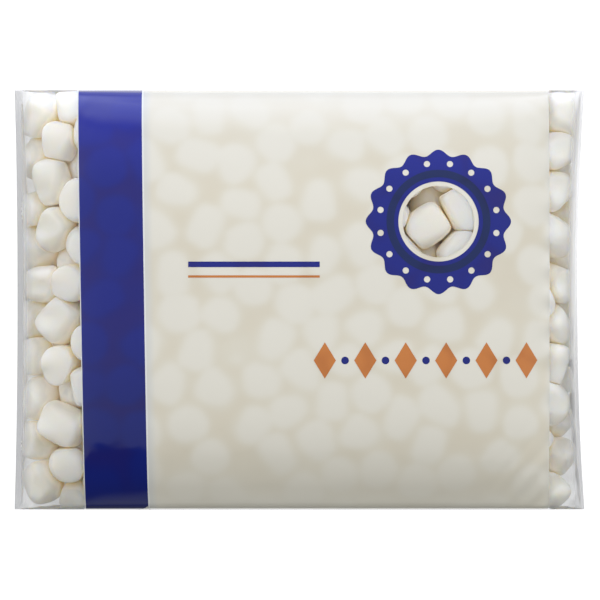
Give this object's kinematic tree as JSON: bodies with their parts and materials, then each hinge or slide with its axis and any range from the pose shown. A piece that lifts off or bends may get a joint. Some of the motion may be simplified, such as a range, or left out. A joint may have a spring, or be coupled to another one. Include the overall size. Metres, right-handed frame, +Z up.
{
  "type": "bag of mini marshmallows",
  "caption": "Clear sealed pillow bag full of mini marshmallows, lying on its back, with a blue stripe and a milky white printed panel across its front.",
  "frame": {"origin": "on the surface the bag lies on, under the middle of the bag", "axes": "+X along the film tube from one end seal to the other, with the blue stripe near the -X end; +Y across the front, towards the edge at the top of the picture; +Z up, out of the printed front"},
  "size_m": [0.2284, 0.1678, 0.0511],
  "materials": {
    "clear_film": "clear thin packaging film, glossy, with soft wrinkles",
    "marshmallow": "soft matte, lightly dusted with starch",
    "print_blue": "translucent indigo ink under glossy film",
    "print_white": "milky translucent white ink under glossy film",
    "print_caramel": "caramel brown ink under glossy film",
    "print_navy": "dark navy ink under glossy film"
  },
  "bodies": {
    "root": {"bag": "clear_film"}
  },
  "joints": []
}
